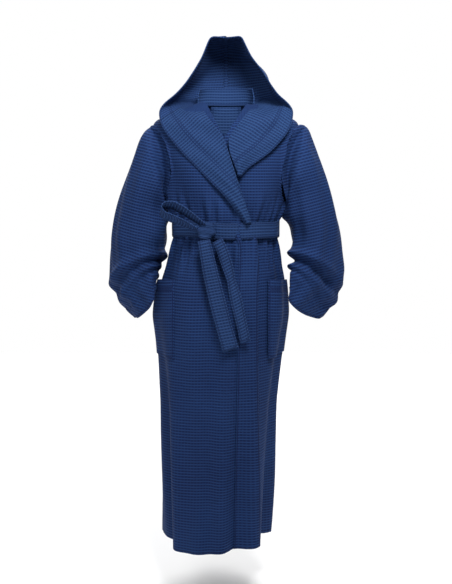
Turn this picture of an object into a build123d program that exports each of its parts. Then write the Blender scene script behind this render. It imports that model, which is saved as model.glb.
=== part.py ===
"""Hooded wrap bathrobe, worn closed with its belt tied. Millimetres, +Z up, wearer faces -Y.

The origin is the nape: the middle of the back neck seam, where the hanging loop is sewn.
Heights are therefore drops below the nape, as a tailor measures them. Right and left are the
wearer's, so right is at -X.
"""
from build123d import *
import os
from functools import cache
from math import cos, radians, sin

os.makedirs("parts", exist_ok=True)

# ---- cloth ----
CLOTH = 3.0        # one layer of waffle cotton with its turnings
GAP = 0.4          # air between two layers that lie on each other
TAPE = 1.5         # thin tapes and labels
STEP = CLOTH + GAP

# ---- body of the robe: rings of (height, centre x, centre y, half width, half depth) ----
NECK = (-5, 0, -62, 80, 66)
SHOULDER = (-55, 0, -80, 205, 88)
CHEST = (-150, 0, -93, 203, 112)
UNDERARM = (-285, 0, -103, 165, 116)
WAIST = (-352, -1, -108, 137, 110)
BELLY = (-430, -6, -110, 150, 122)
POCKET_TOP = (-500, -11, -111, 169, 134)
HIP = (-600, -17, -112, 184, 143)
THIGH = (-720, -19, -113, 176, 142)
KNEE = (-860, -21, -114, 166, 142)
SHIN = (-1090, -24, -115, 159, 145)
HEM = (-1272, -27, -115, 152, 150)
BODY_RINGS = [SHOULDER, CHEST, UNDERARM, WAIST, BELLY, POCKET_TOP, HIP, THIGH, KNEE, SHIN, HEM]
SIDE_SEAM_Y = -100

# ---- neckline, wrap and collar, drawn from the front as (x, height) ----
NECK_SIDE = 66
CROSSING = (-5, -102)
OVER_NECK = 12      # height above the neck seam at which every outline starts
BELOW_HEM = -1300
UNDERLAP_FOOT = -1262
OVERLAP_EDGE = [
    (-NECK_SIDE, OVER_NECK), CROSSING, (28, -205), (62, -300), (72, -345), (88, -390), (84, BELOW_HEM),
]
UNDERLAP_EDGE = [(NECK_SIDE, OVER_NECK), CROSSING, (-40, -205), (-70, -330), (-75, UNDERLAP_FOOT)]
RIGHT_COLLAR_OUTER = [
    (-186, OVER_NECK), (-182, -68), (-118, -140), (-50, -210), (-3, -257), (48, -335), (64, -345),
]
LEFT_COLLAR_OUTER = [(186, OVER_NECK), (172, -90), (120, -142), (55, -188), (40, -207)]
FRONT_BAND = 55
SPAN = 320          # further out than any panel
NECK_CUT = 40       # how far above and below the neck seam the neck is open

# ---- armholes and sleeves ----
ARMHOLE_Y, ARMHOLE_Z = -92, -182
ARMHOLE_HALF_DEPTH, ARMHOLE_HALF_HEIGHT = 74, 112
ARMHOLE_REACH = 120  # how near the middle the hole is cut
ARMHOLE_CLEAR = 7.5
SHOULDER_RISE = 60  # how far the sleeve head is trimmed above the shoulder
# each ring: (outer x, outer z), (inner x, inner z), centre y, lean forward in degrees, half depth
SLEEVE_RINGS = [
    ((-160, -62), (-120, -294), -92, 0, 76),
    ((-243, -92), (-160, -310), -92, 0, 78),
    ((-284, -208), (-178, -330), -91, 0, 80),
    ((-326, -340), (-184, -396), -90, 0, 80),
    ((-343, -470), (-204, -457), -97, 12, 78),
    ((-322, -545), (-222, -496), -118, 24, 72),
    ((-268, -606), (-236, -542), -146, 34, 60),
]
CUFF_LENGTH = 26

# ---- hood: rings of (height, half width, y of the opening, y of the back) ----
HOOD_RINGS = [
    (-8, 190, -118, 17),
    (18, 146, -112, 21),
    (60, 108, -100, 43),
    (124, 67, -85, 56),
    (188, 45, -68, 36),
]
HOOD_BAND = 46
HOOD_EASE = 1       # extra air inside the hood's bands
SEAM_TAPE_HALF = 7
NECK_BAND_HEIGHT = 50
FACING_HALF_WIDTH, FACING_STRAIGHT, FACING_ROUND = 48, 50, 42

# ---- care label in the left side seam ----
LABEL_PLACE = (118, -64, -560)
LABEL_WIDTH, LABEL_HEIGHT, LABEL_CORNER = 34, 62, 3

# ---- pockets ----
POCKET_INNER_X = 137
POCKET_TOP_Z, POCKET_BOTTOM_Z = -495, -716
POCKET_ROOM = 8.0
POCKET_SEAM = 8.0
LEFT_POCKET_SHIFT = -20

# ---- belt ----
BELT_WIDTH = 46
BELT_THICK = 4.0
BELT_Z = -352
BELT_GROW = 2 * STEP + GAP
KNOT_X, KNOT_Y = -54, -236
KNOT_SIZE = (48, 25, 50)
KNOT_ROUND = 8
CARRIER_WIDTH, CARRIER_SLACK, CARRIER_SEAM = 8, 6, 5
TAIL_TOP_Z, TAIL_TOP_Y, TAIL_LEAN = -380, -252, 4.5
TAIL_THICK = 3.0
# Belt ends, drawn on a plane that leans out over the hips: (x, distance down from the knot)
RIGHT_TAIL = [(-80, 0), (-43, 0), (-22, -90), (34, -298), (-6, -290), (-62, -90)]
LEFT_TAIL = [(-38, 0), (-4, 0), (28, -88), (66, -268), (38, -276), (-8, -92)]
BOW_LENGTH, BOW_ROOM, BOW_TILT = 112, 9.0, 24
BOW_FROM_KNOT, BOW_RISE = 11, 9
BOW_WIDTH = 40

# ---- hanging loop ----
LOOP_Z = -24
LOOP_Y, LOOP_THICK, LOOP_CORD = 18, 2, 6
LOOP_WIDTH, LOOP_HEIGHT, LOOP_CORNER = 66, 40, 14


def on_side(side, x):
    """Turn a distance given for the wearer's right into an x on the wanted side."""
    return x if side == "right" else -x


@cache
def body_form(grow):
    """The solid form of the body, from the neck to the hem, grown outwards by grow."""
    with BuildPart() as form:
        for z, cx, cy, half_width, half_depth in (NECK, SHOULDER):
            with BuildSketch(Plane((cx, cy, z + grow))):
                Ellipse(half_depth + grow, half_width + grow, rotation=90)
        loft(ruled=True)
        for z, cx, cy, half_width, half_depth in BODY_RINGS:
            lift = grow if z == SHOULDER[0] else 0
            with BuildSketch(Plane((cx, cy, z + lift))):
                Ellipse(half_depth + grow, half_width + grow, rotation=90)
        loft(ruled=True)
    return form.part


def body_layer(inside, outside, region):
    """The part of a layer of cloth on the body form that lies in a region, with the neck open."""
    z, cx, cy, half_width, half_depth = NECK
    neck_grow = max(inside, 0) + GAP
    with BuildPart() as layer:
        add(region)
        add(body_form(outside), mode=Mode.INTERSECT)
        add(body_form(inside), mode=Mode.SUBTRACT)
        with BuildSketch(Plane((cx, cy, z))):
            Ellipse(half_width + neck_grow, half_depth + neck_grow)
        extrude(amount=NECK_CUT, both=True, mode=Mode.SUBTRACT)
    return layer.part


def behind_seams():
    """What lies behind the side seams."""
    with BuildPart() as rear:
        with Locations((0, SIDE_SEAM_Y + GAP / 2 + SPAN / 2, BELOW_HEM / 2)):
            Box(2 * SPAN, SPAN, -BELOW_HEM + 2 * NECK_CUT)
    return rear.part


def front_of(outline, behind=GAP / 2):
    """What lies in front of the side seams and inside an outline of (x, z) points."""
    with BuildPart() as front:
        with BuildSketch(Plane.XZ.offset(-SIDE_SEAM_Y + behind)):
            with BuildLine():
                Polyline(*outline, close=True)
            make_face()
        extrude(amount=SPAN)
    return front.part


def armhole(side):
    """The hole in the side of the body where a sleeve is set in."""
    outwards = on_side(side, -1)
    with BuildPart() as hole:
        centre = (outwards * SPAN, ARMHOLE_Y, ARMHOLE_Z)
        with BuildSketch(Plane(centre, x_dir=(0, 1, 0), z_dir=(outwards, 0, 0))):
            Ellipse(ARMHOLE_HALF_DEPTH, ARMHOLE_HALF_HEIGHT)
        extrude(amount=ARMHOLE_REACH - SPAN)
    return hole.part


def sleeve_ring(ring):
    """The plane of a ring of the right sleeve, its half width and its half depth."""
    (ox, oz), (ix, iz), y, lean, half_depth = ring
    half_width = ((ox - ix) ** 2 + (oz - iz) ** 2) ** 0.5 / 2
    ux, uz = (ox - ix) / 2 / half_width, (oz - iz) / 2 / half_width
    flat = cos(radians(lean))
    place = Plane(
        ((ox + ix) / 2, y, (oz + iz) / 2),
        x_dir=(ux, 0, uz),
        z_dir=(-uz * flat, -sin(radians(lean)), ux * flat),
    )
    return place, half_width, half_depth


def sleeve_half(first_angle):
    """Half of the right sleeve's wall, lofted between half rings of cloth."""
    with BuildPart() as half:
        for ring in SLEEVE_RINGS:
            place, half_width, half_depth = sleeve_ring(ring)
            with BuildSketch(place):
                with BuildLine():
                    outer = EllipticalCenterArc((0, 0), half_width, half_depth, first_angle, arc_size=180)
                    inner = EllipticalCenterArc(
                        (0, 0), half_width - CLOTH, half_depth - CLOTH, first_angle, arc_size=180)
                    Line(outer @ 0, inner @ 0)
                    Line(outer @ 1, inner @ 1)
                make_face()
        loft(ruled=True)
    return half.part


@cache
def sleeve_tube():
    """The open tube of the right sleeve, trimmed where it meets the body."""
    with BuildPart() as chest:
        for z, cx, cy, half_width, half_depth in (SHOULDER, CHEST, UNDERARM, WAIST):
            rise = SHOULDER_RISE if z == SHOULDER[0] else 0
            with BuildSketch(Plane((cx, cy, z + rise))):
                Ellipse(half_depth + ARMHOLE_CLEAR, half_width + ARMHOLE_CLEAR, rotation=90)
        loft(ruled=True)
    with BuildPart() as tube:
        add(sleeve_half(0))
        add(sleeve_half(180))
        add(chest.part, mode=Mode.SUBTRACT)
    return tube.part


def cuff_plane(back):
    """The plane across the right sleeve at a distance back from its end."""
    return sleeve_ring(SLEEVE_RINGS[-1])[0].offset(-back)


@cache
def hood_form(grow, reach=0.0):
    """The solid form of the hood, grown by grow and carried forward of its opening by reach."""
    with BuildPart() as form:
        for z, half_width, front, back in HOOD_RINGS:
            if z == HOOD_RINGS[0][0] and reach:
                z -= 1
            if z == HOOD_RINGS[-1][0]:
                z += grow
            a, b = half_width + grow, back + grow - front
            with BuildSketch(Plane.XY.offset(z)):
                with BuildLine():
                    arc = EllipticalCenterArc((0, front), a, b, 0, arc_size=180)
                    Polyline(arc @ 1, (-a, front - 1 - reach), (a, front - 1 - reach), arc @ 0)
                make_face()
        loft(ruled=True)
    return form.part


@cache
def hood_layer(inside, outside):
    """A layer of cloth on the hood form, open at the front and at the neck."""
    with BuildPart() as layer:
        add(hood_form(outside))
        add(hood_form(inside, reach=HOOD_BAND), mode=Mode.SUBTRACT)
    return layer.part


def half_space(side, clear=GAP / 2):
    """What lies on one side of the middle seam."""
    with BuildPart() as half:
        with Locations((on_side(side, -(SPAN / 2 + clear)), 0, 0)):
            Box(SPAN, 2 * SPAN, 2 * SPAN)
    return half.part


def along_opening(first, last, half_width=SPAN):
    """A strip that runs along the hood's opening, from first to last behind its edge."""
    lows = [z - 5 if z == HOOD_RINGS[0][0] else z for z, _, _, _ in HOOD_RINGS]
    heights = lows[:-1] + [HOOD_RINGS[-1][0] + 5]
    near = [(ring[2] + first, z) for ring, z in zip(HOOD_RINGS, heights)]
    far = [(ring[2] + last, z) for ring, z in zip(HOOD_RINGS, heights)]
    with BuildPart() as strip:
        with BuildSketch(Plane.YZ.offset(-half_width)):
            with BuildLine():
                Polyline(*near, *far[::-1], close=True)
            make_face()
        extrude(amount=2 * half_width)
    return strip.part


def finish(builder, label):
    """Name a finished piece and write its file."""
    builder.part.label = label
    export_step(builder.part, f"parts/{label}.step")


# ---- panels ----
with BuildPart() as back_panel:
    add(body_layer(0, CLOTH, behind_seams()))
    add(armhole("right"), mode=Mode.SUBTRACT)
    add(armhole("left"), mode=Mode.SUBTRACT)
finish(back_panel, "back_panel")

with BuildPart() as right_front_panel:
    add(body_layer(0, CLOTH, front_of([(-SPAN, OVER_NECK)] + OVERLAP_EDGE + [(-SPAN, BELOW_HEM)])))
    add(armhole("right"), mode=Mode.SUBTRACT)
finish(right_front_panel, "right_front_panel")

with BuildPart() as left_front_panel:
    outline = [(SPAN, OVER_NECK)] + UNDERLAP_EDGE + [(SPAN, UNDERLAP_FOOT)]
    add(body_layer(-STEP, -GAP, front_of(outline)))
    add(armhole("left"), mode=Mode.SUBTRACT)
finish(left_front_panel, "left_front_panel")

# ---- collar, bands and neck ----
with BuildPart() as right_collar:
    add(body_layer(STEP, STEP + CLOTH, front_of(OVERLAP_EDGE[:5] + RIGHT_COLLAR_OUTER[::-1])))
finish(right_collar, "right_collar")

left_collar_inner = [(NECK_SIDE, OVER_NECK)] + [(x + 1, z) for x, z in OVERLAP_EDGE[1:3]]
with BuildPart() as left_collar:
    add(body_layer(0, CLOTH, front_of(left_collar_inner + LEFT_COLLAR_OUTER[::-1])))
finish(left_collar, "left_collar")

band_top, band_foot = OVERLAP_EDGE[5], OVERLAP_EDGE[6]
with BuildPart() as right_front_band:
    inner_edge = [(x - FRONT_BAND, z) for x, z in (band_foot, band_top)]
    add(body_layer(STEP, STEP + CLOTH, front_of([band_top, band_foot] + inner_edge)))
finish(right_front_band, "right_front_band")

under_top, under_foot = UNDERLAP_EDGE[3], UNDERLAP_EDGE[4]
with BuildPart() as left_front_band:
    inner_edge = [(x + FRONT_BAND, z) for x, z in (under_foot, under_top)]
    add(body_layer(-2 * STEP, -STEP - GAP, front_of([under_top, under_foot] + inner_edge)))
finish(left_front_band, "left_front_band")

with BuildPart() as neck_band:
    with BuildSketch(Plane((NECK[1], NECK[2], NECK[0] + CLOTH + GAP))):
        Ellipse(NECK[3] + CLOTH, NECK[4] + CLOTH)
        Ellipse(NECK[3], NECK[4], mode=Mode.SUBTRACT)
    extrude(amount=NECK_BAND_HEIGHT)
    with Locations((0, NECK[2] - 10 + SPAN / 2, 0)):
        Box(SPAN, SPAN, SPAN, mode=Mode.INTERSECT)
finish(neck_band, "neck_band")

with BuildPart() as facing_outline:
    with BuildSketch(Plane.XZ.offset(-NECK[2])):
        with Locations((0, -FACING_STRAIGHT / 2)):
            Rectangle(2 * FACING_HALF_WIDTH, FACING_STRAIGHT)
        with Locations((0, -FACING_STRAIGHT)):
            Ellipse(FACING_HALF_WIDTH, FACING_ROUND)
    extrude(amount=-SPAN)
with BuildPart() as back_neck_facing:
    add(body_layer(-GAP - TAPE, -GAP, facing_outline.part))
finish(back_neck_facing, "back_neck_facing")

with BuildPart() as care_label:
    with Locations(LABEL_PLACE):
        Box(LABEL_WIDTH, TAPE, LABEL_HEIGHT)
    fillet(care_label.edges().filter_by(Axis.Y), LABEL_CORNER)
finish(care_label, "care_label")

# ---- pockets ----
def pocket_outline(side, seam):
    """Outline of a pocket drawn from the front, drawn in by seam at its sewn edges."""
    shift = 0 if side == "right" else LEFT_POCKET_SHIFT
    inner_x = on_side(side, -POCKET_INNER_X - seam) + shift
    outer_x = on_side(side, -SPAN)
    top = POCKET_TOP_Z + (SPAN if seam else 0)
    foot = POCKET_BOTTOM_Z + seam
    return [(inner_x, top), (outer_x, top), (outer_x, foot), (inner_x, foot)]


for side in ("right", "left"):
    with BuildPart() as pocket_room:
        add(body_form(CLOTH + GAP + POCKET_ROOM))
        add(body_form(CLOTH), mode=Mode.SUBTRACT)
        add(front_of(pocket_outline(side, POCKET_SEAM), behind=POCKET_SEAM), mode=Mode.INTERSECT)
    with BuildPart() as pocket:
        add(body_form(CLOTH + GAP + POCKET_ROOM + CLOTH))
        add(body_form(CLOTH + GAP), mode=Mode.SUBTRACT)
        add(front_of(pocket_outline(side, 0)), mode=Mode.INTERSECT)
        add(pocket_room.part, mode=Mode.SUBTRACT)
    finish(pocket, f"{side}_pocket")

# ---- sleeves ----
with BuildPart() as right_sleeve:
    add(sleeve_tube())
    split(bisect_by=cuff_plane(CUFF_LENGTH), keep=Keep.BOTTOM)
finish(right_sleeve, "right_sleeve")

with BuildPart() as right_cuff:
    add(sleeve_tube())
    split(bisect_by=cuff_plane(CUFF_LENGTH - GAP), keep=Keep.TOP)
finish(right_cuff, "right_cuff")

with BuildPart() as left_sleeve:
    mirror(right_sleeve.part, about=Plane.YZ)
finish(left_sleeve, "left_sleeve")

with BuildPart() as left_cuff:
    mirror(right_cuff.part, about=Plane.YZ)
finish(left_cuff, "left_cuff")

# ---- hood ----
for side in ("right", "left"):
    with BuildPart() as hood_half:
        add(hood_layer(-CLOTH, 0))
        add(half_space(side), mode=Mode.INTERSECT)
    finish(hood_half, f"hood_{side}_half")
    with BuildPart() as hood_band:
        add(hood_layer(-STEP - CLOTH - HOOD_EASE, -STEP - HOOD_EASE))
        add(half_space(side), mode=Mode.INTERSECT)
        add(along_opening(-5, HOOD_BAND), mode=Mode.INTERSECT)
    finish(hood_band, f"hood_{side}_band")

with BuildPart() as hood_seam_tape:
    add(hood_layer(-STEP - TAPE - HOOD_EASE, -STEP - HOOD_EASE))
    add(along_opening(HOOD_BAND + HOOD_EASE, SPAN, half_width=SEAM_TAPE_HALF), mode=Mode.INTERSECT)
finish(hood_seam_tape, "hood_seam_tape")

# ---- belt ----
with BuildPart() as belt_waist:
    add(body_form(BELT_GROW + BELT_THICK))
    add(body_form(BELT_GROW), mode=Mode.SUBTRACT)
    with Locations((0, 0, BELT_Z)):
        Box(2 * SPAN, 2 * SPAN, BELT_WIDTH, mode=Mode.INTERSECT)
finish(belt_waist, "belt_waist")

with BuildPart() as belt_knot:
    with Locations((KNOT_X, KNOT_Y, BELT_Z)):
        Box(*KNOT_SIZE)
    fillet(belt_knot.edges(), KNOT_ROUND)
    add(body_form(BELT_GROW + BELT_THICK + GAP), mode=Mode.SUBTRACT)
finish(belt_knot, "belt_knot")

carrier_in = BELT_GROW + BELT_THICK + 1
for side in ("right", "left"):
    with BuildPart() as belt_passage:
        add(body_form(carrier_in))
        with Locations((0, 0, BELT_Z)):
            Box(2 * SPAN, 2 * SPAN, BELT_WIDTH + 2 * CARRIER_SLACK, mode=Mode.INTERSECT)
    with BuildPart() as carrier:
        add(body_form(carrier_in + TAPE))
        add(body_form(STEP + CLOTH + GAP), mode=Mode.SUBTRACT)
        with Locations((on_side(side, -SPAN / 2), SIDE_SEAM_Y, BELT_Z)):
            height = BELT_WIDTH + 2 * (CARRIER_SLACK + CARRIER_SEAM)
            Box(SPAN, CARRIER_WIDTH, height, mode=Mode.INTERSECT)
        add(belt_passage.part, mode=Mode.SUBTRACT)
    finish(carrier, f"{side}_belt_carrier")

for label, outline in (("belt_end_right", RIGHT_TAIL), ("belt_end_left", LEFT_TAIL)):
    with BuildPart() as tail:
        lean = radians(TAIL_LEAN)
        outwards = (0, -cos(lean), sin(lean))
        with BuildSketch(Plane((0, TAIL_TOP_Y, TAIL_TOP_Z), x_dir=(1, 0, 0), z_dir=outwards)):
            with BuildLine():
                Polyline(*outline, close=True)
            make_face()
        extrude(amount=TAIL_THICK)
    finish(tail, label)

with BuildPart() as belt_bow:
    tilt = radians(BOW_TILT)
    along = (-cos(tilt), 0, sin(tilt))
    up = (sin(tilt), 0, cos(tilt))
    start = (KNOT_X - KNOT_SIZE[0] / 2 - BOW_FROM_KNOT, KNOT_Y, BELT_Z + BOW_RISE)
    middle = tuple(s + BOW_LENGTH / 2 * v for s, v in zip(start, along))
    with BuildSketch(Plane(middle, x_dir=along, z_dir=up)):
        SlotOverall(BOW_LENGTH, BOW_ROOM + 2 * CLOTH)
        SlotOverall(BOW_LENGTH - 2 * CLOTH, BOW_ROOM, mode=Mode.SUBTRACT)
    extrude(amount=BOW_WIDTH / 2, both=True)
finish(belt_bow, "belt_bow")

# ---- hanging loop ----
with BuildPart() as hanging_loop:
    with BuildSketch(Plane.XZ.offset(-LOOP_Y)):
        with Locations((0, LOOP_Z - LOOP_HEIGHT / 2)):
            RectangleRounded(LOOP_WIDTH, LOOP_HEIGHT, LOOP_CORNER)
            inside_width, inside_height = LOOP_WIDTH - 2 * LOOP_CORD, LOOP_HEIGHT - 2 * LOOP_CORD
            RectangleRounded(inside_width, inside_height, LOOP_CORNER - LOOP_CORD, mode=Mode.SUBTRACT)
    extrude(amount=-LOOP_THICK)
finish(hanging_loop, "hanging_loop")
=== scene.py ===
"""Looks of the hooded wrap bathrobe: waffle cotton cut, lapped, belted and hung on its CAD frame.

Metres, +Z up, the wearer faces -Y. Right and left are the wearer's, so right is at -X.
"""

import logging
import math
from dataclasses import dataclass, field
from enum import Enum
from typing import Callable, Sequence

import bpy
import numpy as np
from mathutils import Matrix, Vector

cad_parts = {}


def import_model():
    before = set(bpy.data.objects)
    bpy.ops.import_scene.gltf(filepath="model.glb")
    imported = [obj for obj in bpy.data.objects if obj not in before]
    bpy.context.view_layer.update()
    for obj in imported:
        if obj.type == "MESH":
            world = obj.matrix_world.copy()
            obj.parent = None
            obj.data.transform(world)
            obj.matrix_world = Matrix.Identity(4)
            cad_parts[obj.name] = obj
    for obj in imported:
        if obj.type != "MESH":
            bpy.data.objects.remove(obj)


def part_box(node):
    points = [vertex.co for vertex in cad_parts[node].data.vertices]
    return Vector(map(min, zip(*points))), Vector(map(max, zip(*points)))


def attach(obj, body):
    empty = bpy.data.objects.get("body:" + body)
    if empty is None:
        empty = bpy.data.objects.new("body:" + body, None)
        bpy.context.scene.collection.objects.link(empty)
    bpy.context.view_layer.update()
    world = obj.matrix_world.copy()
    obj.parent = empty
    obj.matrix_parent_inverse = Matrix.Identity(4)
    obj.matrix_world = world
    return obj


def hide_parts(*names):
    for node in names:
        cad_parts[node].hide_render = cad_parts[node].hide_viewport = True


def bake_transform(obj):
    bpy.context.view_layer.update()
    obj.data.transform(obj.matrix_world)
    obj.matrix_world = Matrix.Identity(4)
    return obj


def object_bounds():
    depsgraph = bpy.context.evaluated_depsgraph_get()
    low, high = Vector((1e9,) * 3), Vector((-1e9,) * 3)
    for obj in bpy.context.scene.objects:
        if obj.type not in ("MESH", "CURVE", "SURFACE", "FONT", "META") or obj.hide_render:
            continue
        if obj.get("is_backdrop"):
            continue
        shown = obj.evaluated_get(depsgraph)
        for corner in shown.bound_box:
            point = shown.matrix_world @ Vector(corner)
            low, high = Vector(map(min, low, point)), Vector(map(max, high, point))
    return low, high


log = logging.getLogger("bathrobe")
Array = np.ndarray


class Side(Enum):
    """The wearer's side, as the sign of its X."""

    RIGHT = -1
    LEFT = 1


class Held(Enum):
    """How a piece of cloth is held."""

    HUNG = "hung"
    GATHERED = "gathered"
    FOLDED = "folded"
    STRETCHED = "stretched"


# ---------------------------------------------------------------- small tools


def mm(*values: float) -> tuple[float, ...]:
    """Millimetres as metres."""
    return tuple(v / 1000 for v in values)


def smoothstep(x: Array | float, low: float, high: float) -> Array:
    """A soft step from 0 at low to 1 at high."""
    t = np.clip((np.asarray(x, float) - low) / (high - low), 0, 1)
    return t * t * (3 - 2 * t)


def bump(x: Array | float, centre: float, width: float) -> Array:
    """A soft bump of height 1 at centre, about width to each side."""
    return np.exp(-((np.asarray(x, float) - centre) / width) ** 2)


def smooth_along(values: Array, passes: int) -> Array:
    """Round off a row of values, with its ends kept.

    Args:
        values: numbers along the first axis.
        passes: how many times each value is drawn to its neighbours.

    Returns:
        The rounded values.
    """
    out = np.array(values, float)
    for _ in range(passes):
        out[1:-1] = (out[:-2] + 2 * out[1:-1] + out[2:]) / 4
    return out


def through(points: Sequence[Sequence[float]], count: int, rounding: int = 12) -> Array:
    """A smooth line through points, evenly spaced along its length.

    Args:
        points: the points, in order.
        count: how many samples the line gets.
        rounding: passes that round its corners.

    Returns:
        An array of count rows.
    """
    pts = np.array(points, float)
    steps = np.r_[0, np.cumsum(np.linalg.norm(np.diff(pts, axis=0), axis=1))]
    fine = np.linspace(0, steps[-1], 201)
    line = np.stack([np.interp(fine, steps, pts[:, k]) for k in range(pts.shape[1])], axis=1)
    line = smooth_along(line, rounding * 4)
    length = np.r_[0, np.cumsum(np.linalg.norm(np.diff(line, axis=0), axis=1))]
    even = np.linspace(0, length[-1], count)
    return np.stack([np.interp(even, length, line[:, k]) for k in range(line.shape[1])], axis=1)


def lengths(points: Array) -> Array:
    """Distance along each column of a grid of points, from its first row."""
    return np.concatenate(
        [np.zeros((1,) + points.shape[1:-1]), np.cumsum(np.linalg.norm(np.diff(points, axis=0), axis=-1), axis=0)]
    )


def grid_normals(points: Array) -> Array:
    """Unit normals of a grid of points, rows crossed with columns."""
    along = np.gradient(points, axis=0)
    across = np.gradient(points, axis=1)
    normal = np.cross(across, along)
    return normal / np.maximum(np.linalg.norm(normal, axis=-1, keepdims=True), 1e-9)


# ---------------------------------------------------------------- finishes


def linear(hex_colour: str) -> tuple[float, float, float, float]:
    """An sRGB hex colour as linear red, green, blue and alpha."""
    parts = [int(hex_colour[i:i + 2], 16) / 255 for i in (1, 3, 5)]
    return tuple(c / 12.92 if c <= 0.04045 else ((c + 0.055) / 1.055) ** 2.4 for c in parts) + (1.0,)


def add_node(tree: bpy.types.NodeTree, kind: str, settings: dict | None = None, **links) -> bpy.types.Node:
    """Add a shader node.

    Args:
        tree: the material's node tree.
        kind: the node's type name.
        settings: attributes to set on the node.
        links: input names (with _ for a space, or i0, i1 for a number), each an output socket or a value.

    Returns:
        The new node.
    """
    new = tree.nodes.new(kind)
    for name, value in (settings or {}).items():
        setattr(new, name, value)
    for name, value in links.items():
        numbered = name[0] == "i" and name[1:].isdigit()
        socket = new.inputs[int(name[1:]) if numbered else name.replace("_", " ")]
        if isinstance(value, bpy.types.NodeSocket):
            tree.links.new(value, socket)
        else:
            socket.default_value = value
    return new


@dataclass(frozen=True)
class WaffleCotton:
    """Piece-dyed cotton in a waffle weave: raised ribs round sunken cells, matt, with a soft fuzz of sheen. The sunken
    cells are coloured darker than the ribs, as painted shade.
    """

    name: str
    rib: str = "#254479"
    # The colour of the sunken cells: painted shade, darker than the ribs.
    pit_shade: str = "#0e1d45"
    pitch: float = 0.0082
    depth: float = 0.0011
    across: float = 0.45
    hem_stitch: float = 0.007

    def build(self) -> bpy.types.Material:
        """Make the material. The weave follows each piece's own UV map, which is in metres of cloth."""
        material = bpy.data.materials.new(self.name)
        material.use_nodes = True
        tree = material.node_tree
        tree.nodes.clear()
        uv = add_node(tree, "ShaderNodeUVMap", {"uv_map": "cloth"})
        wander = add_node(tree, "ShaderNodeTexNoise", Vector=uv.outputs["UV"], Scale=9.0, Detail=2.0)
        wave = add_node(tree, "ShaderNodeVectorMath", {"operation": "MULTIPLY_ADD"},
                        i0=wander.outputs["Color"], i1=(0.0025, 0.0025, 0.0), i2=uv.outputs["UV"])
        split = add_node(tree, "ShaderNodeSeparateXYZ", Vector=wave.outputs["Vector"])
        ribs = []
        for axis in ("Y", "X"):
            turn = add_node(tree, "ShaderNodeMath", {"operation": "MULTIPLY"}, i0=split.outputs[axis],
                            i1=2 * math.pi / self.pitch)
            swing = add_node(tree, "ShaderNodeMath", {"operation": "COSINE"}, i0=turn.outputs[0])
            up = add_node(tree, "ShaderNodeMath", {"operation": "MULTIPLY_ADD"}, i0=swing.outputs[0],
                          i1=0.5, i2=0.5)
            ribs.append(add_node(tree, "ShaderNodeMath", {"operation": "POWER"}, i0=up.outputs[0], i1=1.6))
        columns = add_node(tree, "ShaderNodeMath", {"operation": "MULTIPLY"}, i0=ribs[1].outputs[0], i1=self.across)
        weave = add_node(tree, "ShaderNodeMath", {"operation": "MAXIMUM"}, i0=ribs[0].outputs[0], i1=columns.outputs[0])
        # At the hem stitch the height drops to nothing, so the stitch line is drawn in the pit colour: painted shade in
        # the groove.
        edge = add_node(tree, "ShaderNodeAttribute", {"attribute_name": "hem"})
        off = add_node(tree, "ShaderNodeMath", {"operation": "SUBTRACT"}, i0=edge.outputs["Fac"], i1=self.hem_stitch)
        near = add_node(tree, "ShaderNodeMath", {"operation": "ABSOLUTE"}, i0=off.outputs[0])
        groove = add_node(tree, "ShaderNodeMapRange", {"interpolation_type": "SMOOTHSTEP"}, Value=near.outputs[0],
                          i1=0.0, i2=0.0022, i3=0.0, i4=1.0)
        height = add_node(tree, "ShaderNodeMath", {"operation": "MULTIPLY"}, i0=weave.outputs[0],
                          i1=groove.outputs[0])
        fuzz = add_node(tree, "ShaderNodeTexNoise", Vector=uv.outputs["UV"], Scale=420.0, Detail=3.0)
        rough_height = add_node(tree, "ShaderNodeMath", {"operation": "MULTIPLY_ADD"}, i0=fuzz.outputs["Fac"], i1=0.22,
                                i2=height.outputs[0])
        raised = add_node(tree, "ShaderNodeBump", Strength=0.85, Distance=self.depth, Height=rough_height.outputs[0])
        dye = add_node(tree, "ShaderNodeTexNoise", Vector=uv.outputs["UV"], Scale=5.0, Detail=4.0)
        dyed = add_node(tree, "ShaderNodeMapRange", Value=dye.outputs["Fac"], i1=0.3, i2=0.7, i3=-0.10, i4=0.10)
        # Low places, the sunken cells and the stitch groove, take the pit colour: painted shade.
        shade = add_node(tree, "ShaderNodeMath", {"operation": "MULTIPLY_ADD", "use_clamp": True},
                         i0=height.outputs[0], i1=0.85, i2=dyed.outputs[0])
        colour = add_node(tree, "ShaderNodeMix", {"data_type": "RGBA"}, i0=shade.outputs[0], i6=linear(self.pit_shade),
                          i7=linear(self.rib))
        cloth = add_node(tree, "ShaderNodeBsdfPrincipled", Base_Color=colour.outputs[2], Roughness=0.88,
                         Normal=raised.outputs["Normal"])
        cloth.inputs["Specular IOR Level"].default_value = 0.18
        cloth.inputs["Sheen Weight"].default_value = 0.09
        cloth.inputs["Sheen Roughness"].default_value = 0.45
        cloth.inputs["Sheen Tint"].default_value = linear("#5c7dbb")
        add_node(tree, "ShaderNodeOutputMaterial", Surface=cloth.outputs["BSDF"])
        material.diffuse_color = linear(self.rib)
        return material


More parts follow.
